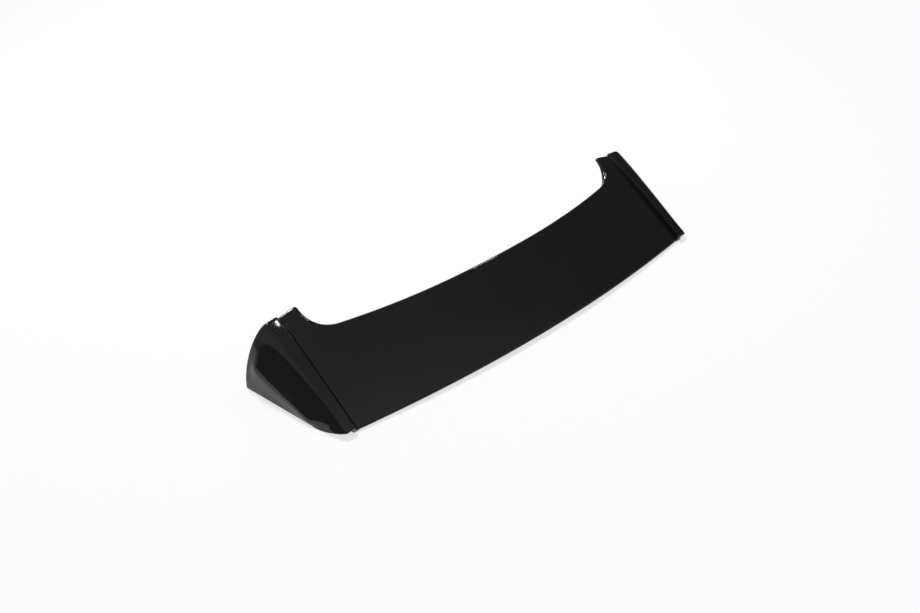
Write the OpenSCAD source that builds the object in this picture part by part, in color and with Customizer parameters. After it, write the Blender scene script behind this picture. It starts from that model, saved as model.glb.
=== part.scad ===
// Rear roof spoiler for a hatchback: one moulded shell, open underneath.
// X runs across the car, Y forwards to the ears and Z up.
// The shell stands on the feet of its two side fins and on its trailing corners.

/* [Panel] */
// Width of the smooth panel, from groove to groove
panel_w = 988; // [960:1:1080]
// Depth of the panel in plan, on the centre line
panel_depth = 179; // [150:1:210]
// Rearward bow of the trailing edge at the middle
rear_bow = 37; // [15:1:60]
// Rise of the panel at the middle over its sides
crown = 25.5; // [21:0.5:45]
// Slope of the panel, rising to the front, in degrees
tilt = 29.4; // [22:0.2:34]
// Forward sweep of the front edge from the middle to the groove lines
front_sweep = 58; // [20:1:90]

/* [Ears] */
// Gap between the two ears, from tip to tip
ear_gap = 902; // [700:1:930]
// Reach of the ears ahead of the front edge's own line
ear_len = 45; // [30:1:80]
// Width of the curved notch that leads into each ear
notch_w = 57; // [30:1:120]
// Corner radius of each ear's tip, in plan
tip_r = 6; // [5.5:0.5:12]

/* [Ridge and groove] */
// Width of the groove beside each end ridge
groove_w = 6; // [4:0.5:9]
// Depth of that groove
groove_d = 2; // [1:0.1:3]
// Height of the end ridge over the panel at the rear
ridge_h = 12.8; // [6:0.2:16]
// Width of the riser that climbs from groove to ridge
riser_w = 6; // [5:0.5:12]
// Distance from groove to crease at the trailing edge
ridge_rear_w = 24.5; // [18:0.5:40]
// Distance from groove to crease at the front
ridge_front_w = 28.5; // [20:0.5:40]
// Depth of the dish in the ear, beside the ridge
dish_d = 4.5; // [0:0.5:6]
// Width of that dish, from the groove inwards
dish_w = 36; // [20:1:45]
// Overhang of the ridge's rear end past the trailing corner
ridge_tail = 3; // [0:0.5:8]

/* [Fins] */
// Distance from the groove line out to the foot, at the foot's rear end
fin_rear_out = 55.5; // [48:0.5:80]
// Distance from the groove line out to the foot, at the front
fin_front_out = 90.5; // [70:0.5:120]
// Distance from the trailing corner forward to the foot's rear end
foot_start = 66; // [40:1:100]
// Lead of the foot's front end ahead of the ear
foot_lead = 11.5; // [0:0.5:40]
// Inward lean of the fin just above its foot, in degrees
fin_lean = 1.5; // [0:0.5:12]
// Reach of the crease's rounding at the rear
crease_soft = 9.5; // [9:0.5:16]
// Reach of the dome that replaces the crease at the front
dome_soft = 29; // [20:0.5:45]
// Length of the rounded heel at the foot's rear end
heel_len = 35; // [20:1:40]
// Height of the fin's nearly upright part at the front
fin_upright = 70; // [45:1:85]

/* [Edges] */
// Wall thickness of the shell
wall = 3; // [2:0.1:3.5]
// Radius of the rolled front edge
lip_r = 4.5; // [4:0.1:5]
// Radius of the rolled edge beside each ear
lip_ear_r = 9; // [5:0.5:12]
// Straight return below the rolled front edge
lip_drop = 2; // [0.5:0.5:8]
// Radius of the rolled trailing edge
tail_r = 4; // [4:0.1:6]
// Straight return below the rolled trailing edge
tail_drop = 1; // [0.5:0.5:6]

/* [Hidden] */
shell_colour = [0.03, 0.03, 0.03];

groove_x = panel_w / 2;
groove_half = groove_w / 2;
ear_x = ear_gap / 2;
notch_x = ear_x - notch_w;
front_mid = panel_depth - rear_bow;
ear_y = front_mid + front_sweep + ear_len;

// The fins splay outwards to the front, and their rolled front edge ends at front_reach
front_reach = ear_y + foot_lead;
splay = atan((fin_front_out - fin_rear_out) / (front_reach - foot_start));
foot_rear = [groove_x + fin_rear_out, foot_start];
foot_front = [groove_x + fin_front_out,
    front_reach - lip_r * cos(splay) - (lip_r + lip_drop) * sin(splay)];

// Powers of the front edge's curve, of the ridge's fade and the fin's growth to the front,
// and of the dish's growth to the front and inwards
sweep_power = 2.2;
fade_power = 2.5;
upright_power = 2.6;
dish_growth = 3;
dish_power = 1.3;
// Share of the ridge's height that is lost at the front
fade_share = 0.92;
// Shares of the ridge's length at which the groove begins to run out and the dome to grow
groove_end = 0.8;
dome_start = 0.15;
// Growth of the groove's half width and of the riser's width on the inside, per unit of wall
groove_spread = 1.5;
riser_spread = 3;

// The tail's underside comes down to sole_gap over the floor where the grooves run out
sole_gap = 0.2;
tail_inset = tail_r * (1 - sin(tilt));
tail_top = tail_r * sin(tilt) + (tail_r + tail_drop) * cos(tilt);
side_z = sole_gap + groove_d + tail_top - tail_inset * tan(tilt);

// Half of the depth between the trailing edge and the feet's front ends
mid_y = (front_reach - rear_bow) / 2;

// Columns in each stretch from the middle out to the crease, then down the fin
cols_mid = 9;
cols_notch = 8;
cols_tip = 3;
cols_ear = 2;
cols_groove = 4;
cols_riser = 2;
cols_ridge = 3;
cols_fin = 11;
// Rows from the trailing edge to the front, and round each rolled edge
rows_main = 11;
rows_roll = 4;
// Crowding of the fin's columns towards the crease
fin_crowd = 1.3;
// Share of the fin's height over which the tail's roll dies out, and what is left of it
roll_reach = 0.6;
roll_least = 0.1;
// Share of the fin's length over which its heel turns upright
heel_share = 0.6;
// Step used to measure the slope of the ridge's top at the crease
slope_step = 0.5;

function smooth(t) = let(c = min(max(t, 0), 1)) c * c * (3 - 2 * c);
function blend(a, b, t) = a * (1 - t) + b * t;
function unit(v) = v / norm(v);
function run(count) = [for (i = [0 : count - 1]) i / count];
function mirrored(p) = [-p.x, p.y, p.z];

// Plan curves: the trailing edge and the front edge without its ears
function rear_y(x) = x < groove_x
    ? -rear_bow * (1 - pow(x / groove_x, 2))
    : -ridge_tail * smooth((x - groove_x) / riser_w);
function front_y(x) = front_mid + front_sweep * pow(x / groove_x, sweep_power);

// Height of the top skin: a sloping crowned panel, a groove that runs out at the ear,
// a dish beside the ridge that deepens to the front, and the end ridge.
// The groove and the riser are spread out by soft, which is the wall for the inner skin.
function panel_z(x, y) = side_z + crown * (1 - pow(x / groove_x, 2)) + y * tan(tilt);
function ahead(y) = min(max(y / ear_y, 0), 1);
function riser(d, soft) = smooth(d / (riser_w + riser_spread * soft));
function groove_share(y) = 1 - smooth((ahead(y) - groove_end) / (1 - groove_end));
function groove_z(d, y, soft) = let(half = groove_half + groove_spread * soft)
    abs(d) < half ? -groove_d * (1 + cos(180 * d / half)) / 2 * groove_share(y) : 0;
function dish_z(d, y, soft) = -dish_d * pow(ahead(y), dish_growth) * (1 - riser(d, soft))
    * pow(min(max(1 + d / dish_w, 0), 1), dish_power);
function ridge_z(d, y, soft) = ridge_h * riser(d, soft) * (1 - fade_share * pow(ahead(y), fade_power));
function top_z(x, y, soft) = let(d = x - groove_x)
    panel_z(x, y) + groove_z(d, y, soft) + dish_z(d, y, soft) + ridge_z(d, y, soft);

// One column of the top skin: its front point, its rear x and its front edge radius
function column(front, rear_x, r) = [front, rear_x, r];
function mid_columns() = [for (t = run(cols_mid)) let(x = notch_x * t)
    column([x, front_y(x)], x, lip_r)];

// The notch is a quarter ellipse that rises from the front edge up to the ear's tip
notch_rise = ear_y - tip_r - front_y(ear_x);
function notch_columns() = [for (t = run(cols_notch)) let(x = notch_x + notch_w * sin(90 * t))
    column([x, front_y(x) + notch_rise * (1 - cos(90 * t))], notch_x + notch_w * t,
        blend(lip_r, lip_ear_r, pow(sin(180 * t), 2)))];
function tip_columns() = [for (t = run(cols_tip))
    column([ear_x + tip_r * (1 - cos(90 * t)), ear_y - tip_r * (1 - sin(90 * t))],
        ear_x + tip_r * t, lip_r)];
function straight_columns(x_from, x_to, count) = [for (t = run(count)) let(x = blend(x_from, x_to, t))
    column([x, ear_y], x, lip_r)];
function ridge_columns() = [for (i = [0 : cols_ridge]) let(t = i / cols_ridge)
    column([groove_x + blend(riser_w, ridge_front_w, t), ear_y],
        groove_x + blend(riser_w, ridge_rear_w, t), lip_r)];
top_columns = concat(
    mid_columns(),
    notch_columns(),
    tip_columns(),
    straight_columns(ear_x + tip_r, groove_x - groove_half, cols_ear),
    straight_columns(groove_x - groove_half, groove_x + groove_half, cols_groove),
    straight_columns(groove_x + groove_half, groove_x + riser_w, cols_riser),
    ridge_columns());
last_top = len(top_columns) - 1;

// The front edge is drawn in by its own radius, square to itself, to leave room for the roll
function front_run(i) = top_columns[min(i + 1, last_top)][0] - top_columns[max(i - 1, 0)][0];
function front_start(i) = i == 0
    ? top_columns[0][0] - [0, top_columns[0][2]]
    : let(d = unit(front_run(i))) top_columns[i][0] - top_columns[i][2] * [-d.y, d.x];
function rear_start(i) = [top_columns[i][1], rear_y(top_columns[i][1]) + tail_inset];
function top_point(i, v, soft) = let(p = blend(rear_start(i), front_start(i), v))
    [p.x, p.y, top_z(p.x, p.y, soft)];

// A fin section is a curve from the crease to the foot: it leaves the crease along the
// ridge's own slope and meets the foot nearly upright, or along the floor at the heel
function crease_dir(p, soft) =
    unit([slope_step, 0, top_z(p.x, p.y, soft) - top_z(p.x - slope_step, p.y, soft)]);
function foot_dir(v) = unit(blend(
    concat(unit(foot_rear - foot_front), 0),
    [-sin(fin_lean), 0, cos(fin_lean)],
    smooth(v / heel_share)));
function fin_point(s, v, soft) = let(
    a = top_point(last_top, v, soft),
    d = concat(blend(foot_rear, foot_front, v), 0),
    dome = smooth((v - dome_start) / (1 - dome_start)),
    b = a + blend(crease_soft, dome_soft, dome) * crease_dir(a, soft),
    c = d + blend(heel_len, fin_upright, pow(v, upright_power)) * foot_dir(v))
    a * pow(1 - s, 3) + 3 * b * pow(1 - s, 2) * s + 3 * c * (1 - s) * s * s + d * pow(s, 3);
fin_steps = [for (i = [1 : cols_fin]) pow(i / cols_fin, fin_crowd)];

// The whole skin without its rolled edges, as rows from rear to front: the outer face,
// and the same with a soft groove and riser, which the inner face follows one wall below
function half_row(v, soft) = concat(
    [for (i = [0 : last_top]) top_point(i, v, soft)],
    [for (s = fin_steps) fin_point(s, v, soft)]);
function full_row(half) = concat([for (i = [len(half) - 1 : -1 : 1]) mirrored(half[i])], half);
function full_list(half) = concat([for (i = [len(half) - 1 : -1 : 1]) half[i]], half);
function skin(soft) = [for (j = [0 : rows_main]) full_row(half_row(j / rows_main, soft))];
face = skin(0);
core = skin(wall);
cols = len(core[0]);

// Front radius and tail strength of every column
front_radius = full_list(concat([for (c = top_columns) c[2]], [for (s = fin_steps) lip_r]));
tail_share = full_list(concat(
    [for (c = top_columns) 1],
    [for (s = fin_steps) max(1 - s / roll_reach, roll_least)]));

// Outward unit normal of the soft skin at row j and column i
function along(j, i) = core[j][min(i + 1, cols - 1)] - core[j][max(i - 1, 0)];
function across(j, i) = core[min(j + 1, rows_main)][i] - core[max(j - 1, 0)][i];
function skin_normal(j, i) = unit(cross(along(j, i), across(j, i)));
function base(t) = t > 0 ? core : face;

// A rolled edge starts at p and turns from direction d down against normal n, at depth t.
// Its end lies under the soft skin, so that both edges run out smoothly past the grooves.
function rolled(p, d, n, r, angle, t) =
    p + (r - t) * (sin(angle) * d + cos(angle) * n) - r * n;
function front_way(i) = unit(cross(skin_normal(rows_main, i), along(rows_main, i)));
function front_roll(p, i, a, t) = rolled(p, front_way(i), skin_normal(rows_main, i), front_radius[i], a, t);
function front_end(i, t) = front_roll(core[rows_main][i], i, 90, t) - lip_drop * skin_normal(rows_main, i);
function tail_way(i) = unit(core[0][i] - core[1][i]);
function tail_roll(p, i, a, t) = rolled(p, tail_way(i), skin_normal(0, i), tail_r, a * tail_share[i], t);
function tail_end(i, t) = let(a = 90 * tail_share[i])
    tail_roll(core[0][i], i, 90, t)
    + tail_drop * tail_share[i] * (cos(a) * tail_way(i) - sin(a) * skin_normal(0, i));

// The feet are cut flat on the floor, and no other point of either skin comes below it
function is_foot(i) = i == 0 || i == cols - 1;
function level(p, i) = [p.x, p.y, is_foot(i) ? 0 : max(p.z, sole_gap)];
function skin_point(j, i, t) = let(n = skin_normal(j, i), h = [n.x, n.y, 0])
    base(t)[j][i] - t * (is_foot(i) ? h / (h * h) : n);

// All rows of the skin at depth t: the tail's roll, the main rows and the front roll
roll_rows = [1 : rows_roll];
function turn(k) = 90 * k / rows_roll;
every = [0 : cols - 1];
function layer(t) = concat(
    [[for (i = every) level(tail_end(i, t), i)]],
    [for (k = [rows_roll : -1 : 1]) [for (i = every) level(tail_roll(base(t)[0][i], i, turn(k), t), i)]],
    [for (j = [0 : rows_main]) [for (i = every) level(skin_point(j, i, t), i)]],
    [for (k = roll_rows) [for (i = every) level(front_roll(base(t)[rows_main][i], i, turn(k), t), i)]],
    [[for (i = every) level(front_end(i, t), i)]]);

// Two skins one wall apart, joined all round their border, make one closed shell
function flat(rows) = [for (row = rows) for (p = row) p];
function quad(a, b, c, d) = [[a, b, c], [a, c, d]];
module lofted_shell(outer, inner) {
    n_rows = len(outer);
    n_cols = len(outer[0]);
    below = n_rows * n_cols;
    function at(j, i) = j * n_cols + i;
    outer_faces = [for (j = [0 : n_rows - 2]) for (i = [0 : n_cols - 2])
        for (f = quad(at(j, i), at(j + 1, i), at(j + 1, i + 1), at(j, i + 1))) f];
    inner_faces = [for (j = [0 : n_rows - 2]) for (i = [0 : n_cols - 2])
        for (f = quad(at(j, i), at(j, i + 1), at(j + 1, i + 1), at(j + 1, i))) f + [below, below, below]];
    border = concat(
        [for (i = [0 : n_cols - 2]) at(0, i)],
        [for (j = [0 : n_rows - 2]) at(j, n_cols - 1)],
        [for (i = [n_cols - 1 : -1 : 1]) at(n_rows - 1, i)],
        [for (j = [n_rows - 1 : -1 : 1]) at(j, 0)]);
    rim_faces = [for (k = [0 : len(border) - 1]) let(a = border[k], b = border[(k + 1) % len(border)])
        for (f = quad(a, b, b + below, a + below)) f];
    polyhedron(concat(flat(outer), flat(inner)), concat(outer_faces, inner_faces, rim_faces), convexity = 6);
}

module spoiler_shell() {
    color(shell_colour)
        translate([0, -mid_y, 0])
            lofted_shell(layer(0), layer(wall));
}

spoiler_shell();
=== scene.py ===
"""Studio scene of a rear roof spoiler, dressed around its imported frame.

The spoiler is one moulded shell. Its visible surface is worked out again here from the same
rules as the solid, with many more points and a crisper bend along each fin. It gets its gloss
black finish and a satin inner side, and round it come a pale floor, soft lamps and the camera.
"""
import math
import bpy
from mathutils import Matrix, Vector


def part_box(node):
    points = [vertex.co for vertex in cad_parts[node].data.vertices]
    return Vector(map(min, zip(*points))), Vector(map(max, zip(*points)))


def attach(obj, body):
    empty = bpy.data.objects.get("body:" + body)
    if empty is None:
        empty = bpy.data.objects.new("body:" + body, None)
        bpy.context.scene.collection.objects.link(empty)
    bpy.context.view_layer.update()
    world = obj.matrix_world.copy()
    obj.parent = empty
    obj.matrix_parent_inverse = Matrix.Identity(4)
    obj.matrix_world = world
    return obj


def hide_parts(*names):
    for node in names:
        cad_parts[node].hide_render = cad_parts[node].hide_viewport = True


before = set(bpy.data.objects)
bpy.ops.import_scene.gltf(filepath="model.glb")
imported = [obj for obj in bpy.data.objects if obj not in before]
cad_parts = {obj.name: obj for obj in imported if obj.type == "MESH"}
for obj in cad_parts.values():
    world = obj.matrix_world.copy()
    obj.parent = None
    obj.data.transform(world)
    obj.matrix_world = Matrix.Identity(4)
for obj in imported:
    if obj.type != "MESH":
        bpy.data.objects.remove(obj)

from types import SimpleNamespace

import bpy
import numpy as np
from bpy.props import FloatProperty, FloatVectorProperty, IntProperty, PointerProperty
from bpy.types import Operator, Panel, PropertyGroup
from mathutils import Matrix, Vector

bl_info = {
    "name": "Rear Spoiler Studio",
    "version": (1, 0, 0),
    "blender": (4, 5, 0),
    "location": "View3D > Sidebar > Spoiler",
    "description": "Builds a gloss black rear roof spoiler and the studio round it",
    "category": "Object",
}

NODE = "spoiler_shell"
BODY = "root"
BOX_LOW, BOX_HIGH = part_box(NODE)


def length(name, text, value):
    """A size in metres, as a property."""
    return FloatProperty(name=name, description=text, default=value, min=0.0, unit="LENGTH",
                         precision=4)


def angle(name, text, degrees):
    """An angle, given in degrees, as a property."""
    return FloatProperty(name=name, description=text, default=math.radians(degrees),
                         subtype="ANGLE")


def number(name, text, value):
    """A plain number, as a property."""
    return FloatProperty(name=name, description=text, default=value, precision=3)


def whole(name, text, value, least):
    """A whole number, not under least, as a property."""
    return IntProperty(name=name, description=text, default=value, min=least)


def colour(name, text, value):
    """A colour, as a property."""
    return FloatVectorProperty(name=name, description=text, default=value, subtype="COLOR",
                               size=3, min=0.0, max=1.0)


class SpoilerShape(PropertyGroup):
    """Sizes of the moulded shell. Y runs forwards, and 0 is at the trailing corners."""
    panel_w: length("Panel width", "Width of the smooth panel, from groove to groove", 0.988)
    panel_depth: length("Panel depth", "Depth of the panel in plan, on the centre line", 0.179)
    rear_bow: length("Rear bow", "Rearward bow of the trailing edge at the middle", 0.037)
    crown: length("Crown", "Rise of the panel at the middle over its sides", 0.0255)
    tilt: angle("Tilt", "Slope of the panel, rising to the front", 29.4)
    front_sweep: length("Front sweep", "Forward sweep of the front edge out to the grooves", 0.058)
    ear_gap: length("Ear gap", "Gap between the two ears, from tip to tip", 0.902)
    ear_len: length("Ear length", "Reach of the ears ahead of the front edge's own line", 0.045)
    notch_w: length("Notch width", "Width of the curved notch beside each ear", 0.057)
    tip_r: length("Tip radius", "Corner radius of each ear's tip, in plan", 0.006)
    groove_w: length("Groove width", "Width of the groove beside each end ridge", 0.006)
    groove_d: length("Groove depth", "Depth of that groove", 0.002)
    dish_d: length("Ear dish depth", "Depth of the dish beside the ridge, at the front", 0.0045)
    dish_w: length("Ear dish width", "Width of that dish, from the groove inwards", 0.036)
    ridge_h: length("Ridge height", "Height of the end ridge over the panel at the rear", 0.0128)
    riser_w: length("Riser width", "Width of the riser from groove to ridge", 0.006)
    ridge_rear_w: length("Ridge width, rear", "From groove to crease, at the rear", 0.0245)
    ridge_front_w: length("Ridge width, front", "From groove to crease, at the front", 0.0285)
    ridge_tail: length("Ridge tail", "Overhang of the ridge past the trailing corner", 0.003)
    fin_rear_out: length("Fin foot, rear", "From the groove out to the foot's rear end", 0.0555)
    foot_start: length("Foot start", "From the trailing corner to the foot's rear end", 0.066)
    fin_lean: angle("Fin lean", "Inward lean of the fin just above its foot", 1.5)
    crease_soft: length("Crease softness", "Reach of the crease's rounding at the rear", 0.0095)
    dome_soft: length("Dome softness", "Reach of the dome at the crease's front", 0.029)
    heel_len: length("Heel length", "Length of the rounded heel behind the foot", 0.035)
    fin_upright: length("Fin upright", "Height of the fin's nearly upright part", 0.070)
    bend_lean_rear: angle("Bend lean, rear", "Lean over the bend line, at the rear", 50.0)
    bend_lean: angle("Bend lean", "Lean over the bend line, at the front", 32.5)
    bend_inset: length("Bend inset", "How far the flat over the bend line is set in", 0.0031)
    flange_lean: angle("Flange lean", "Lean under the bend line, at the front", 3.5)
    bend_soft: length("Bend softness", "Rounding of the bend line", 0.002)
    dome_from: length("Dome foot", "Height over the foot where the dome begins", 0.098)
    wall: length("Wall", "Wall thickness of the shell", 0.003)
    lip_r: length("Lip radius", "Radius of the rolled front edge", 0.0045)
    lip_ear_r: length("Ear lip radius", "Radius of the rolled edge beside each ear", 0.009)
    lip_drop: length("Lip return", "Straight return below the rolled front edge", 0.002)
    tail_r: length("Tail radius", "Radius of the rolled trailing edge", 0.004)
    tail_drop: length("Tail return", "Straight return below the trailing edge", 0.001)
    rim_r: length("Rim rounding", "Rounding of the moulding's bare rim", 0.0006)
    sole_gap: length("Sole gap", "Least height of the skin beside a foot", 0.0002)
    columns: whole("Columns", "Columns from the middle to the crease, per side", 140, 40)
    fin_columns: whole("Fin columns", "Columns down each fin", 44, 12)
    rows: whole("Rows", "Rows from the trailing edge to the front", 64, 12)
    roll_rows: whole("Roll rows", "Rows round each rolled edge", 12, 4)


class SpoilerFinish(PropertyGroup):
    """Colours and surface of the moulding."""
    black: colour("Outer black", "Colour of the polished outer face", (0.0050, 0.0050, 0.0052))
    black_inside: colour("Inner black", "Colour of the satin inner face", (0.016, 0.016, 0.017))
    polish: number("Polish", "Roughness of the polished outer face", 0.035)
    satin: number("Satin", "Roughness of the inner face", 0.38)
    peel_size: length("Peel size", "Size of the fine ripples in the polished face", 0.004)
    peel_depth: length("Peel depth", "Depth of those ripples", 0.0000015)
    sink_size: length("Sink size", "Size of the slow waves left by moulding", 0.085)
    sink_depth: length("Sink depth", "Depth of those waves", 0.00003)
    grain_size: length("Grain size", "Size of the grain on the inner face", 0.0011)
    grain_depth: length("Grain depth", "Depth of that grain", 0.00006)


class SpoilerStudio(PropertyGroup):
    """Floor, lamps and camera."""
    floor_colour: colour("Floor", "Colour of the floor", (0.93, 0.93, 0.93))
    view_azimuth: angle("View azimuth", "Turn of the view to the right of straight ahead", 41.95)
    view_elevation: angle("View elevation", "Height angle of the camera over the floor", 37.638)
    view_distance: length("View distance", "From the camera to the aimed point", 2.273)
    aim_right: number("Aim right", "Shift of the aim along the picture's width, m", -0.09356)
    aim_down: number("Aim down", "Shift of the aim down the picture, m", 0.00773)
    focal_px: number("Focal length", "Focal length in pixels of the picture", 1000.0)


def smooth(t):
    """A soft step: 3t² - 2t³ for t from 0 to 1, flat outside."""
    t = np.clip(t, 0.0, 1.0)
    return t * t * (3.0 - 2.0 * t)


def blend(a, b, t):
    """a where t is 0, b where t is 1, and in line between."""
    return a * (1.0 - t) + b * t


def unit(v):
    """v over its own length, along the last axis."""
    return v / np.linalg.norm(v, axis=-1, keepdims=True)


def derived(shape):
    """The shell's working sizes: those given, and those that follow from them and the frame."""
    s = SimpleNamespace(**{k: getattr(shape, k) for k in SpoilerShape.__annotations__})
    s.groove_x = s.panel_w / 2
    s.ear_x = s.ear_gap / 2
    s.notch_x = s.ear_x - s.notch_w
    s.front_mid = s.panel_depth - s.rear_bow
    s.ear_y = s.front_mid + s.front_sweep + s.ear_len
    s.fin_front_out = BOX_HIGH.x - s.groove_x
    s.front_reach = BOX_HIGH.y - BOX_LOW.y - s.rear_bow
    splay = math.atan((s.fin_front_out - s.fin_rear_out) / (s.front_reach - s.foot_start))
    s.foot_rear = np.array([s.groove_x + s.fin_rear_out, s.foot_start, 0.0])
    s.foot_front = np.array([
        BOX_HIGH.x,
        s.front_reach - s.lip_r * math.cos(splay) - (s.lip_r + s.lip_drop) * math.sin(splay),
        0.0])
    s.tail_inset = s.tail_r * (1 - math.sin(s.tilt))
    tail_top = s.tail_r * math.sin(s.tilt) + (s.tail_r + s.tail_drop) * math.cos(s.tilt)
    s.side_z = s.sole_gap + s.groove_d + tail_top - s.tail_inset * math.tan(s.tilt)
    s.mid_y = (s.front_reach - s.rear_bow) / 2
    return s


# Curves of the top skin
SWEEP_POWER = 2.2       # power of the front edge's sweep across the panel
GROOVE_END = 0.80       # share of the depth where the groove starts to run out
GROOVE_SPREAD = 1.5     # how much softness widens half the groove
RISER_SPREAD = 3        # how much softness widens the riser
DISH_POWER = 1.3        # power of the dish's slope towards the groove
DISH_GROWTH = 3.0       # power of the dish's deepening to the front
FADE_SHARE = 0.92       # share of the ridge's height that has faded at the front
FADE_POWER = 2.5        # power of that fading
SLOPE_STEP = 0.0002     # small difference for the slopes, in metres
LEAVE_STEP = 0.0005     # step over the ridge that gives its slope at the crease, in metres
# Columns of each part from the middle out, in proportion
COLUMN_PARTS = {"middle": 46, "notch": 30, "tip": 12, "ear": 10, "groove": 16, "riser": 10,
                "ridge": 16}

# Curves of the fins. Shares run from the fin's rear end, 0, to its front, 1
DOME_START = 0.15       # where the crease begins to open into the dome
UPRIGHT_POWER = 2.6     # power of the upright part's growth to the front
HEEL_SHARE = 0.6        # where the heel has turned upright
FIN_CROWD = 1.3         # power that crowds the columns at the crease
BEND_TURN = 0.8         # where the flat's lean has turned to its front value
BEND_RUN = 0.1          # share of the crease's height over which the push sets in
BEND_START = 0.2        # where the push has grown to its full
BEND_FADE = 0.14        # share over which it fades at the front
INSET_END = 0.72        # where the flat's inset starts to fade
INSET_RUN = 0.2         # share over which it does

# Rolled edges and rim
ROLL_REACH = 0.6        # share of the fin's height down which the trailing roll dies out
ROLL_LEAST = 0.1        # what is left of that roll at the foot
RIM_SHARE = 0.8         # most of the trailing return that the rim's rounding may take
RIM_STEPS = 4           # facets of each quarter circle round the rim


def rear_edge_y(s, x):
    """The trailing edge: a parabola across the panel, then a small overhang at the ridge."""
    bow = -s.rear_bow * (1 - (x / s.groove_x) ** 2)
    return np.where(x < s.groove_x, bow, -s.ridge_tail * smooth((x - s.groove_x) / s.riser_w))


def front_edge_y(s, x):
    """The front edge without its ears: it sweeps forward with the power SWEEP_POWER of x."""
    return s.front_mid + s.front_sweep * (x / s.groove_x) ** SWEEP_POWER


def top_height(s, x, y, soft):
    """Height of the top skin: a sloping crowned panel, less a cosine groove that runs out at the
    ear, less a dish that deepens towards the groove's front end, plus a ridge that climbs by a
    soft step and fades to the front. soft spreads groove and riser out."""
    d = x - s.groove_x
    ahead = np.clip(y / s.ear_y, 0.0, 1.0)
    panel = s.side_z + s.crown * (1 - (x / s.groove_x) ** 2) + y * math.tan(s.tilt)
    half = s.groove_w / 2 + GROOVE_SPREAD * soft
    groove = np.where(np.abs(d) < half, -s.groove_d * (1 + np.cos(np.pi * d / half)) / 2, 0.0)
    groove = groove * (1 - smooth((ahead - GROOVE_END) / (1 - GROOVE_END)))
    slope_in = np.clip(1 + d / s.dish_w, 0.0, 1.0) ** DISH_POWER
    riser = smooth(d / (s.riser_w + RISER_SPREAD * soft))
    dish = s.dish_d * ahead ** DISH_GROWTH * slope_in * (1 - riser)
    ridge = s.ridge_h * riser * (1 - FADE_SHARE * ahead ** FADE_POWER)
    return panel + groove - dish + ridge


def top_normals(s, points):
    """Upward unit normals of the soft top skin: across its two slopes, by small differences."""
    x, y, h = np.abs(points[..., 0]), points[..., 1], SLOPE_STEP
    slope_x = (top_height(s, x + h, y, s.wall) - top_height(s, x - h, y, s.wall)) / (2 * h)
    slope_y = (top_height(s, x, y + h, s.wall) - top_height(s, x, y - h, s.wall)) / (2 * h)
    slope_x = np.where(points[..., 0] < 0, -slope_x, slope_x)
    return unit(np.stack([-slope_x, -slope_y, np.ones_like(slope_x)], axis=-1))


def top_columns(s):
    """Columns of the top skin from the middle to the crease, each as its front point, rear x and
    edge radius. Beside the ear the front points follow a quarter ellipse on the front edge, and
    round the ear's tip a quarter circle."""
    share = s.columns / sum(COLUMN_PARTS.values())
    parts = []

    def steps(part, endpoint=False):
        """Even steps from 0 to 1, one for each column of the part."""
        return np.linspace(0.0, 1.0, max(int(COLUMN_PARTS[part] * share), 3), endpoint=endpoint)

    def add(x, y, rear_x, r):
        """Keeps a run of columns."""
        parts.append(np.stack(np.broadcast_arrays(x, y, rear_x, r), axis=-1))

    x = s.notch_x * steps("middle")
    add(x, front_edge_y(s, x), x, s.lip_r)

    t = steps("notch")
    x = s.notch_x + s.notch_w * np.sin(t * np.pi / 2)
    rise = s.ear_y - s.tip_r - front_edge_y(s, s.ear_x)
    r = blend(s.lip_r, s.lip_ear_r, np.sin(t * np.pi) ** 2)
    add(x, front_edge_y(s, x) + rise * (1 - np.cos(t * np.pi / 2)), s.notch_x + s.notch_w * t, r)

    t = steps("tip")
    turn = t * np.pi / 2
    add(s.ear_x + s.tip_r * (1 - np.cos(turn)), s.ear_y - s.tip_r * (1 - np.sin(turn)),
        s.ear_x + s.tip_r * t, s.lip_r)

    ends = (s.ear_x + s.tip_r, s.groove_x - s.groove_w / 2, s.groove_x + s.groove_w / 2,
            s.groove_x + s.riser_w)
    for part, a, b in zip(("ear", "groove", "riser"), ends, ends[1:]):
        x = blend(a, b, steps(part))
        add(x, s.ear_y, x, s.lip_r)

    t = steps("ridge", endpoint=True)
    add(s.groove_x + blend(s.riser_w, s.ridge_front_w, t), s.ear_y,
        s.groove_x + blend(s.riser_w, s.ridge_rear_w, t), s.lip_r)
    return np.concatenate(parts)


def fin_steps(s):
    """Places of a fin's columns from the crease, 0, to the foot, 1: even steps to a power."""
    return (np.arange(1, s.fin_columns + 1) / s.fin_columns) ** FIN_CROWD


def fin_bend(s, v, foot_x, fin):
    """Push that turns the fin's soft bow into an upright flange and a leaning flat over it.

    v is the share of the fin's length. The flange rises from the foot and leans more to the
    front. The flat is the bow's tangent at the bend's lean, x = K - z tan(lean), where K is the
    bow's greatest x + z tan(lean), less an inset. The push is the lesser of both, rounded over
    bend_soft, less the bow. It fades out below the crease, under the dome, and at both ends."""
    x, z = fin[..., 0], fin[..., 2]
    slope = np.tan(blend(s.bend_lean_rear, s.bend_lean, smooth(v / BEND_TURN)))
    inset = s.bend_inset * v * (1 - smooth((v - INSET_END) / INSET_RUN))
    flat = np.max(x + z * slope, axis=1, keepdims=True) - z * slope - inset
    flange = foot_x - z * v * math.tan(s.flange_lean)
    bent = (flat + flange - np.sqrt((flat - flange) ** 2 + s.bend_soft ** 2)) / 2
    crease_z = z[:, :1]
    below = np.maximum(BEND_RUN * crease_z + s.wall, crease_z - s.dome_from)
    share = smooth((crease_z - z) / below) * smooth(v / BEND_START)
    share = share * (1 - smooth((v - 1 + BEND_FADE) / BEND_FADE))
    return share * (bent - x)


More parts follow.
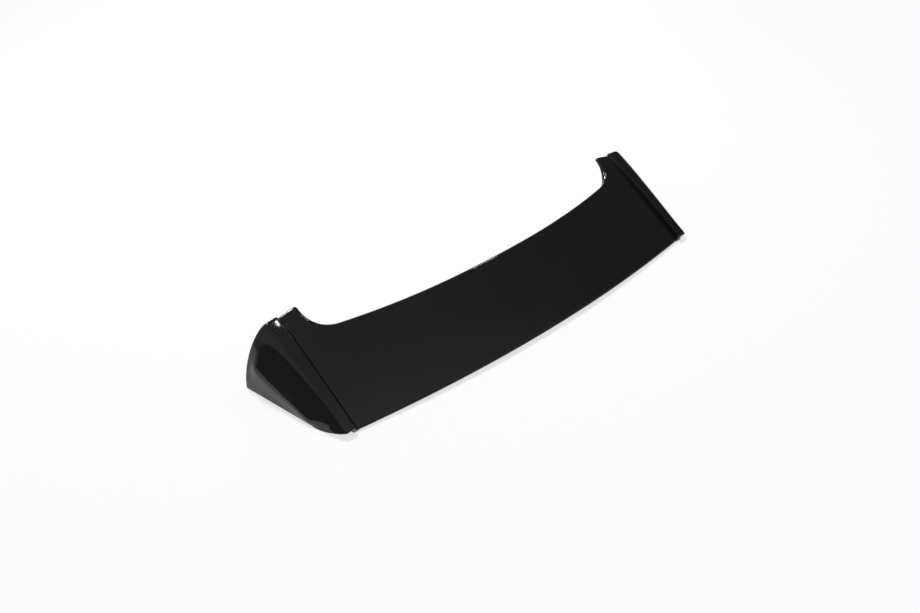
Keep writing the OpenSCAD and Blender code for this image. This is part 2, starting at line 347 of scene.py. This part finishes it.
def half_skin(s, columns, soft):
    """Right half of the skin without its rolled edges, as rows from rear to front.

    A top point lies in line between its column's rear and front starts, at the top's height.
    A fin point lies on a cubic curve from the crease, along the ridge's slope, to the foot."""
    front, rear_x, r = columns[:, :2], columns[:, 2], columns[:, 3:]
    run = np.gradient(front, axis=0)
    run[0] = (1.0, 0.0)
    run = unit(run)
    front_start = front - r * np.stack([-run[:, 1], run[:, 0]], axis=1)
    rear_start = np.stack([rear_x, rear_edge_y(s, rear_x) + s.tail_inset], axis=1)
    v = np.linspace(0.0, 1.0, s.rows + 1)[:, None]
    plan = blend(rear_start, front_start, v[..., None])
    height = top_height(s, plan[..., 0], plan[..., 1], soft)
    top = np.concatenate([plan, height[..., None]], axis=2)

    crease = top[:, -1]
    rise = crease[:, 2] - top_height(s, crease[:, 0] - LEAVE_STEP, crease[:, 1], soft)
    leave = unit(np.stack([np.full_like(rise, LEAVE_STEP), np.zeros_like(rise), rise], axis=1))
    foot = blend(s.foot_rear, s.foot_front, v)
    up = np.array([-math.sin(s.fin_lean), 0.0, math.cos(s.fin_lean)])
    arrive = unit(blend(unit(s.foot_rear - s.foot_front), up, smooth(v / HEEL_SHARE)))
    dome = smooth((v - DOME_START) / (1 - DOME_START))
    near_crease = crease + blend(s.crease_soft, s.dome_soft, dome) * leave
    near_foot = foot + blend(s.heel_len, s.fin_upright, v ** UPRIGHT_POWER) * arrive
    t = fin_steps(s)[None, :, None]
    a, b, c, d = (p[:, None, :] for p in (crease, near_crease, near_foot, foot))
    fin = a * (1 - t) ** 3 + 3 * b * (1 - t) ** 2 * t + 3 * c * (1 - t) * t ** 2 + d * t ** 3
    fin[..., 0] += fin_bend(s, v, foot[:, :1], fin)
    return np.concatenate([top, fin], axis=1)


def mirrored(half):
    """Both halves: the right one after its mirror image, with the middle column shared."""
    left = half[:, :0:-1] * np.array([-1.0, 1.0, 1.0])
    return np.concatenate([left, half], axis=1)


def both_ways(values):
    """A value per column of the right half, laid out for both halves."""
    return np.concatenate([values[:0:-1], values])


def shell_layers(s):
    """The outer and the inner face as grids of points, the way each border point runs out, and
    the rim's rounding there.

    The outer face follows the sharp skin and the inner face lies one wall under the soft skin.
    Each edge turns round a circle: p + (r - t)(sin a · d + cos a · n) - r·n at depth t.
    The feet stand on the floor, so their run-out points straight down."""
    columns = top_columns(s)
    face = mirrored(half_skin(s, columns, 0.0))
    core = mirrored(half_skin(s, columns, s.wall))
    n = unit(np.cross(np.gradient(core, axis=1), np.gradient(core, axis=0)))
    top = slice(s.fin_columns, -s.fin_columns)
    n[:, top] = top_normals(s, core[:, top])

    front_r = both_ways(np.concatenate([columns[:, 3], np.full(s.fin_columns, s.lip_r)]))[:, None]
    fin_share = np.maximum(1 - fin_steps(s) / ROLL_REACH, ROLL_LEAST)
    share = both_ways(np.concatenate([np.ones(len(columns)), fin_share]))[:, None]
    front_way = unit(np.cross(n[-1], np.gradient(core[-1], axis=0)))
    tail_way = unit(core[0] - core[1])
    tail_turn = share * np.pi / 2
    tail_run = np.cos(tail_turn) * tail_way - np.sin(tail_turn) * n[0]

    def rolled(p, way, normal, r, turn, t):
        """Points at depth t, after the given turn round an edge of radius r at p."""
        return p + (r - t) * (np.sin(turn) * way + np.cos(turn) * normal) - r * normal

    n_rows, n_cols = core.shape[:2]
    rim_r = np.full((n_rows + 2 * s.roll_rows + 2, n_cols, 1), s.rim_r)
    rim_r[0] = np.minimum(s.rim_r, RIM_SHARE * s.tail_drop * share)
    run_out = np.zeros(rim_r.shape[:2] + (3,))
    run_out[0] = tail_run
    run_out[-1] = -n[-1]
    run_out[:, (0, -1)] += (0.0, 0.0, -1.0)
    for edge in (run_out[0], run_out[-1], run_out[:, 0], run_out[:, -1]):
        edge[:] = unit(edge)
    turns = [np.pi / 2 * k / s.roll_rows for k in range(1, s.roll_rows + 1)]

    def layer(t):
        """The face at depth t: its rows from the trailing edge's end to the front edge's."""
        base = core if t else face
        tail_end = rolled(core[0], tail_way, n[0], s.tail_r, tail_turn, t)
        tail_end = tail_end + (s.tail_drop * share - rim_r[0]) * tail_run
        tail = [rolled(base[0], tail_way, n[0], s.tail_r, a * share, t) for a in reversed(turns)]
        front = [rolled(base[-1], front_way, n[-1], front_r, a, t) for a in turns]
        front_end = rolled(core[-1], front_way, n[-1], front_r, np.pi / 2, t)
        front_end = front_end - (s.lip_drop - s.rim_r) * n[-1]
        inward = n.copy()
        inward[:, (0, -1), 2] = 0.0
        inward[:, (0, -1)] /= np.sum(inward[:, (0, -1)] ** 2, axis=-1, keepdims=True)
        rows = np.stack([tail_end, *tail, *(base - t * inward), *front, front_end])
        rows[..., 2] = np.maximum(rows[..., 2], s.sole_gap)
        rows[:, (0, -1), 2] = s.rim_r
        return rows

    return layer(0.0), layer(s.wall), run_out, rim_r


def border(grid):
    """The border of a grid as one loop: rear row, right column, front row, left column."""
    return np.concatenate([grid[0, :-1], grid[:-1, -1], grid[-1, :0:-1], grid[:0:-1, 0]])


def grid_quads(index):
    """The quads of a grid of vertex numbers, counter-clockwise seen from outside."""
    corners = [index[:-1, :-1], index[:-1, 1:], index[1:, 1:], index[1:, :-1]]
    return np.stack(corners, axis=-1).reshape(-1, 4)


def mesh_from_quads(name, points, quads):
    """A mesh from whole arrays of points and quads."""
    mesh = bpy.data.meshes.new(name)
    mesh.vertices.add(len(points))
    mesh.vertices.foreach_set("co", points.astype(np.float32).ravel())
    mesh.loops.add(quads.size)
    mesh.loops.foreach_set("vertex_index", quads.astype(np.int32).ravel())
    mesh.polygons.add(len(quads))
    mesh.polygons.foreach_set("loop_start", np.arange(0, quads.size, 4, dtype=np.int32))
    mesh.polygons.foreach_set("use_smooth", np.ones(len(quads), dtype=bool))
    mesh.update(calc_edges=True)
    mesh.validate()
    return mesh


def rounded_rim(outer, inner, run_out, r):
    """Loops of points from the outer border round the bare rim to the inner border: a quarter
    circle of radius r outwards, a flat, and a quarter circle back in. run_out is the way on."""
    across = unit(inner - outer)
    turns = [math.pi / 2 * k / RIM_STEPS for k in range(RIM_STEPS + 1)]
    moves = [((1 - math.cos(a)) * across, math.sin(a) * run_out) for a in turns]
    out = [outer + r * (aside + ahead) for aside, ahead in moves]
    back = [inner + r * (ahead - aside) for aside, ahead in reversed(moves)]
    return out + back


def shell_mesh(s, name):
    """The whole shell: outer face, inner face and the rounded rim between them, as one mesh.

    The points are numbered by outer face, inner face and the rim's loops in between. They are
    moved so that the box's middle is at Y = 0, and kept inside the solid's box."""
    outer, inner, run_out, rim_r = shell_layers(s)
    n_rows, n_cols = outer.shape[:2]
    numbers = np.arange(n_rows * n_cols).reshape(n_rows, n_cols)
    below = numbers + n_rows * n_cols
    loops = rounded_rim(border(outer), border(inner), border(run_out), border(rim_r))
    extra = np.concatenate(loops[1:-1])
    points = np.concatenate([outer.reshape(-1, 3), inner.reshape(-1, 3), extra])
    points = np.clip(points - np.array([0.0, s.mid_y, 0.0]), BOX_LOW, BOX_HIGH)

    count = len(border(numbers))
    rings = [border(numbers)]
    rings += [2 * n_rows * n_cols + k * count + np.arange(count) for k in range(len(loops) - 2)]
    rings += [border(below)]
    rim = [np.stack([a, b, np.roll(b, -1), np.roll(a, -1)], axis=-1)
           for a, b in zip(rings, rings[1:])]
    outer_quads = grid_quads(numbers)
    inner_quads = grid_quads(below)[:, ::-1]
    quads = np.concatenate([outer_quads, inner_quads, *rim])
    mesh = mesh_from_quads(name, points, quads)
    material = np.zeros(len(quads), dtype=np.int32)
    material[len(outer_quads):len(outer_quads) + len(inner_quads)] = 1
    mesh.polygons.foreach_set("material_index", material)
    return mesh


def link(tree, source, target):
    """Joins an output socket to an input socket."""
    tree.links.new(source, target)


def put(tree, value, target):
    """Gives an input socket its value: a number, or another node's output."""
    if isinstance(value, float):
        target.default_value = value
    else:
        link(tree, value, target)


def math_node(tree, operation, a, b):
    """The output of a Math node on a and b, each a number or a socket."""
    node = tree.nodes.new("ShaderNodeMath")
    node.operation = operation
    put(tree, a, node.inputs[0])
    put(tree, b, node.inputs[1])
    return node.outputs[0]


def spread(tree, value, start, end, low, high):
    """value mapped from start..end to low..high, flat outside."""
    node = tree.nodes.new("ShaderNodeMapRange")
    settings = {"From Min": start, "From Max": end, "To Min": low, "To Max": high}
    for label, setting in settings.items():
        node.inputs[label].default_value = setting
    link(tree, value, node.inputs["Value"])
    return node.outputs["Result"]


def mixed(tree, factor, a, b):
    """a where factor is 0, b where it is 1. Each is a socket or a number."""
    node = tree.nodes.new("ShaderNodeMix")
    put(tree, factor, node.inputs["Factor"])
    put(tree, a, node.inputs["A"])
    put(tree, b, node.inputs["B"])
    return node.outputs["Result"]


# The moulded skin: its group's inputs and what they hold until a material sets them, in metres
SKIN_INPUTS = {"Fine size": 0.004, "Fine depth": 0.000002,
               "Wave size": 0.08, "Wave depth": 0.00005}
FINE_DETAIL = 1.0
WAVE_DETAIL = 1.5
NOISE_ROUGHNESS = 0.5
TONES = {"A": 0.7, "B": 1.3}    # darkest and lightest patch, times the colour
PATCH_LOW = 0.3                 # the slow noise's usual least
PATCH_HIGH = 0.7                # and most
POLISH_DRIFT = 0.02             # how much rougher the roughest patch is, outside
SATIN_DRIFT = 0.12              # and inside
PLASTIC_IOR = 1.5


def moulded_skin_group():
    """Node group of a moulded surface. Its height is a fine noise times one depth plus a slow
    noise times another, and its patches are that slow noise."""
    group = bpy.data.node_groups.new("Moulded skin", "ShaderNodeTree")
    for label, value in SKIN_INPUTS.items():
        socket = group.interface.new_socket(label, in_out="INPUT", socket_type="NodeSocketFloat")
        socket.default_value = value
    for label in ("Height", "Patches"):
        group.interface.new_socket(label, in_out="OUTPUT", socket_type="NodeSocketFloat")
    given = group.nodes.new("NodeGroupInput").outputs
    result = group.nodes.new("NodeGroupOutput").inputs
    place = group.nodes.new("ShaderNodeTexCoord").outputs["Object"]

    def noise(size, detail):
        """Noise on the piece's own place, with ripples of the given size."""
        node = group.nodes.new("ShaderNodeTexNoise")
        node.inputs["Detail"].default_value = detail
        node.inputs["Roughness"].default_value = NOISE_ROUGHNESS
        link(group, place, node.inputs["Vector"])
        link(group, math_node(group, "DIVIDE", 1.0, size), node.inputs["Scale"])
        return node.outputs["Fac"]

    fine = noise(given["Fine size"], FINE_DETAIL)
    slow = noise(given["Wave size"], WAVE_DETAIL)
    height = math_node(group, "ADD", math_node(group, "MULTIPLY", fine, given["Fine depth"]),
                       math_node(group, "MULTIPLY", slow, given["Wave depth"]))
    link(group, height, result["Height"])
    link(group, slow, result["Patches"])
    return group


def moulded_black(name, group, colour_value, roughness, drift, sizes):
    """A black moulded plastic: its colour and its roughness drift a little with the slow patches,
    and the group's height feeds one bump."""
    material = bpy.data.materials.new(name)
    material.use_nodes = True
    tree = material.node_tree
    nodes = tree.nodes
    shader = nodes["Principled BSDF"]
    skin = nodes.new("ShaderNodeGroup")
    skin.node_tree = group
    for label, value in sizes.items():
        skin.inputs[label].default_value = value

    tone = nodes.new("ShaderNodeMix")
    tone.data_type = "RGBA"
    for label, factor in TONES.items():
        tone.inputs[label].default_value = (*[factor * c for c in colour_value], 1.0)
    link(tree, skin.outputs["Patches"], tone.inputs["Factor"])
    link(tree, tone.outputs["Result"], shader.inputs["Base Color"])

    sheen = spread(tree, skin.outputs["Patches"], PATCH_LOW, PATCH_HIGH,
                   roughness, roughness + drift)
    link(tree, sheen, shader.inputs["Roughness"])

    bump = nodes.new("ShaderNodeBump")
    bump.inputs["Strength"].default_value = 1.0
    bump.inputs["Distance"].default_value = 1.0
    link(tree, skin.outputs["Height"], bump.inputs["Height"])
    link(tree, bump.outputs["Normal"], shader.inputs["Normal"])
    shader.inputs["IOR"].default_value = PLASTIC_IOR
    return material


class SPOILER_OT_build_shell(Operator):
    """Build the spoiler's moulded shell and its two finishes"""
    bl_idname = "spoiler.build_shell"
    bl_label = "Moulded shell"

    def execute(self, context):
        """Makes the shell from the sidebar's sizes and colours, in the solid's place."""
        finish = context.scene.spoiler_finish
        mesh = shell_mesh(derived(context.scene.spoiler_shape), "spoiler_moulding")
        group = moulded_skin_group()
        peel = {"Fine size": finish.peel_size, "Fine depth": finish.peel_depth}
        grain = {"Fine size": finish.grain_size, "Fine depth": finish.grain_depth}
        waves = {"Wave size": finish.sink_size, "Wave depth": finish.sink_depth}
        mesh.materials.append(moulded_black("Polished black", group, finish.black,
                                            finish.polish, POLISH_DRIFT, peel | waves))
        mesh.materials.append(moulded_black("Grained black", group, finish.black_inside,
                                            finish.satin, SATIN_DRIFT, grain | waves))
        piece = bpy.data.objects.new("spoiler_moulding", mesh)
        context.scene.collection.objects.link(piece)
        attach(piece, BODY)
        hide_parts(NODE)
        return {"FINISHED"}


# The floor: half its side and its drop below the feet, in metres, and how plain it looks
FLOOR_HALF = 6.0
FLOOR_DROP = 0.0002
FLOOR_ROUGHNESS = 0.9
PLAIN_SHARE = 0.7

# Light of the walls and the ceiling, by parts of the direction. A pair is a soft edge's ends
HORIZON = (0.0, 0.012)              # of Z: white below, wall above
WALL_LIGHT = 0.16
CEILING_WAY = (0.27, 0.86, 0.44)
CEILING_EDGE = (0.0, 0.06)          # of the direction times CEILING_WAY: wall, then ceiling
CEILING_SIDES = (-0.6, -0.1, 0.2, 0.45, 0.62, 0.75)     # of X
CEILING_LIGHT = (0.45, 0.38, 0.29, 0.24, 0.18, 0.12)    # the ceiling's light at those
REAR_GLOW_EDGE = (-0.24, -0.40)     # of Y
REAR_GLOW = 0.32                    # added to the ceiling behind it

# Soft lamps: name, place, width and height in metres, and light
SOFT_LAMPS = (
    ("Ridge lamp", (0.0046, 0.0666, 2.485), 0.008, 0.085, 50.0),
    ("Notch lamp", (1.44, 0.21, 2.28), 0.19, 0.29, 26.0),
    ("Lip lamp", (-0.18, 1.33, 2.20), 0.20, 1.00, 22.0),
    ("Window", (1.14, 2.17, 1.03), 1.60, 0.60, 2.5),
)
KEY_WAY = (0.10, 0.50, 0.86)
KEY_STRENGTH = 1.9
KEY_SPREAD = math.radians(12)

# The camera: the picture's width, the sensor's, and the range it sees, in metres
PICTURE_WIDTH_PX = 920
SENSOR_MM = 36.0
CLIP_START = 0.05
CLIP_END = 60.0


def studio_floor_material(name, floor_colour):
    """White floor. What the camera, a reflection or a clear body sees is mostly plain white,
    and the rest is lit, so that the shadow shows. The light on the object comes off it as lit."""
    material = bpy.data.materials.new(name)
    material.use_nodes = True
    tree = material.node_tree
    nodes = tree.nodes
    lit = nodes["Principled BSDF"]
    lit.inputs["Base Color"].default_value = (*floor_colour, 1.0)
    lit.inputs["Roughness"].default_value = FLOOR_ROUGHNESS
    lit.inputs["Specular IOR Level"].default_value = 0.0
    plain = nodes.new("ShaderNodeEmission")
    plain.inputs["Strength"].default_value = 1.0
    path = nodes.new("ShaderNodeLightPath").outputs
    seen = math_node(tree, "MAXIMUM", path["Is Camera Ray"], path["Is Glossy Ray"])
    seen = math_node(tree, "MAXIMUM", seen, path["Is Transmission Ray"])
    mix = nodes.new("ShaderNodeMixShader")
    link(tree, math_node(tree, "MULTIPLY", seen, PLAIN_SHARE), mix.inputs[0])
    link(tree, lit.outputs[0], mix.inputs[1])
    link(tree, plain.outputs[0], mix.inputs[2])
    link(tree, mix.outputs[0], nodes["Material Output"].inputs["Surface"])
    return material


def studio_sky(world):
    """The studio's walls and ceiling, as light by direction. The ceiling is the part of the sky
    on one side of a tilted plane: where the direction times CEILING_WAY is above 0. Its light
    falls from left to right and grows to the rear. The rest is dark wall, down to the horizon,
    and white below it."""
    world.use_nodes = True
    tree = world.node_tree
    nodes = tree.nodes
    way = nodes.new("ShaderNodeTexCoord").outputs["Generated"]
    split = nodes.new("ShaderNodeSeparateXYZ")
    link(tree, way, split.inputs[0])
    across, along, up = split.outputs

    ramp = nodes.new("ShaderNodeValToRGB")
    stops = ramp.color_ramp.elements
    while len(stops) < len(CEILING_SIDES):
        stops.new(0.5)
    for stop, side, light in zip(stops, CEILING_SIDES, CEILING_LIGHT):
        stop.position = (side + 1) / 2
        stop.color = (light, light, light, 1.0)
    link(tree, spread(tree, across, -1.0, 1.0, 0.0, 1.0), ramp.inputs["Fac"])
    glow = spread(tree, along, *REAR_GLOW_EDGE, 0.0, REAR_GLOW)
    ceiling = math_node(tree, "ADD", ramp.outputs["Color"], glow)

    side = nodes.new("ShaderNodeVectorMath")
    side.operation = "DOT_PRODUCT"
    side.inputs[1].default_value = CEILING_WAY
    link(tree, way, side.inputs[0])
    overhead = spread(tree, side.outputs["Value"], *CEILING_EDGE, 0.0, 1.0)
    walls = mixed(tree, overhead, WALL_LIGHT, ceiling)
    light = mixed(tree, spread(tree, up, *HORIZON, 0.0, 1.0), 1.0, walls)
    link(tree, light, nodes["Background"].inputs["Color"])


def soft_lamp(name, place, width, height, light):
    """A rectangular lamp at place, facing the object's middle, with its height along the depth
    of the studio. Its power is light times pi times its area."""
    lamp = bpy.data.lights.new(name, "AREA")
    lamp.shape = "RECTANGLE"
    lamp.size = width
    lamp.size_y = height
    lamp.energy = light * math.pi * width * height
    holder = bpy.data.objects.new(name, lamp)
    back = Vector(place).normalized()
    across = Vector((0.0, 1.0, 0.0)).cross(back).normalized()
    turn = Matrix((across, back.cross(across), back)).transposed().to_4x4()
    turn.translation = place
    holder.matrix_world = turn
    bpy.context.scene.collection.objects.link(holder)


def key_light(way, strength, spread):
    """An even light from far off, out of the direction way. spread is the angle it fills."""
    lamp = bpy.data.lights.new("Key light", "SUN")
    lamp.energy = strength
    lamp.angle = spread
    holder = bpy.data.objects.new("Key light", lamp)
    holder.rotation_euler = Vector(way).to_track_quat("Z", "Y").to_euler()
    bpy.context.scene.collection.objects.link(holder)


def photo_camera(studio):
    """The camera, turned to the picture's right and down ways and the way it looks. It stands
    back from the aimed point by the view's distance."""
    a, e = studio.view_azimuth, studio.view_elevation
    right = Vector((math.cos(a), -math.sin(a), 0.0))
    down = Vector((-math.sin(a) * math.sin(e), -math.cos(a) * math.sin(e), -math.cos(e)))
    ahead = Vector((math.sin(a) * math.cos(e), math.cos(a) * math.cos(e), -math.sin(e)))
    camera = bpy.data.cameras.new("Studio camera")
    camera.sensor_fit = "HORIZONTAL"
    camera.sensor_width = SENSOR_MM
    camera.lens = studio.focal_px * SENSOR_MM / PICTURE_WIDTH_PX
    camera.clip_start = CLIP_START
    camera.clip_end = CLIP_END
    holder = bpy.data.objects.new("Studio camera", camera)
    turn = Matrix((right, -down, -ahead)).transposed().to_4x4()
    aim = right * studio.aim_right + down * studio.aim_down
    turn.translation = aim - ahead * studio.view_distance
    holder.matrix_world = turn
    bpy.context.scene.collection.objects.link(holder)
    bpy.context.scene.camera = holder


class SPOILER_OT_build_studio(Operator):
    """Build the pale floor, the lamps, the walls' light and the camera"""
    bl_idname = "spoiler.build_studio"
    bl_label = "Studio"

    def execute(self, context):
        """Makes the studio from the sidebar's values."""
        studio = context.scene.spoiler_studio
        corners = np.array([(-1, -1), (1, -1), (1, 1), (-1, 1)]) * FLOOR_HALF
        points = np.column_stack([corners, np.full(4, -FLOOR_DROP)])
        mesh = mesh_from_quads("studio_floor", points, np.array([[0, 1, 2, 3]]))
        mesh.materials.append(studio_floor_material("Studio floor", studio.floor_colour))
        floor = bpy.data.objects.new("studio_floor", mesh)
        context.scene.collection.objects.link(floor)

        world = bpy.data.worlds.new("Studio walls")
        context.scene.world = world
        studio_sky(world)
        for lamp in SOFT_LAMPS:
            soft_lamp(*lamp)
        key_light(KEY_WAY, KEY_STRENGTH, KEY_SPREAD)
        photo_camera(studio)
        context.scene.view_settings.view_transform = "Standard"
        return {"FINISHED"}


class SPOILER_PT_panel(Panel):
    """Sidebar panel with the spoiler's sizes, colours and steps"""
    bl_idname = "SPOILER_PT_panel"
    bl_label = "Rear spoiler"
    bl_space_type = "VIEW_3D"
    bl_region_type = "UI"
    bl_category = "Spoiler"

    def draw(self, context):
        """A box for each group of values, with the step that uses them."""
        groups = (
            (context.scene.spoiler_shape, SpoilerShape, SPOILER_OT_build_shell),
            (context.scene.spoiler_finish, SpoilerFinish, None),
            (context.scene.spoiler_studio, SpoilerStudio, SPOILER_OT_build_studio),
        )
        for values, kind, operator in groups:
            box = self.layout.box()
            for key in kind.__annotations__:
                box.prop(values, key)
            if operator:
                box.operator(operator.bl_idname)


CLASSES = (SpoilerShape, SpoilerFinish, SpoilerStudio, SPOILER_OT_build_shell,
           SPOILER_OT_build_studio, SPOILER_PT_panel)


def register():
    """Adds the classes and gives the scene its three groups of values."""
    for kind in CLASSES:
        bpy.utils.register_class(kind)
    bpy.types.Scene.spoiler_shape = PointerProperty(type=SpoilerShape)
    bpy.types.Scene.spoiler_finish = PointerProperty(type=SpoilerFinish)
    bpy.types.Scene.spoiler_studio = PointerProperty(type=SpoilerStudio)


def unregister():
    """Takes them away again."""
    del bpy.types.Scene.spoiler_shape
    del bpy.types.Scene.spoiler_finish
    del bpy.types.Scene.spoiler_studio
    for kind in reversed(CLASSES):
        bpy.utils.unregister_class(kind)


def main():
    """Registers the add-on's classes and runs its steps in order."""
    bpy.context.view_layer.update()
    register()
    bpy.ops.spoiler.build_shell()
    bpy.ops.spoiler.build_studio()


if __name__ == "__main__":
    main()
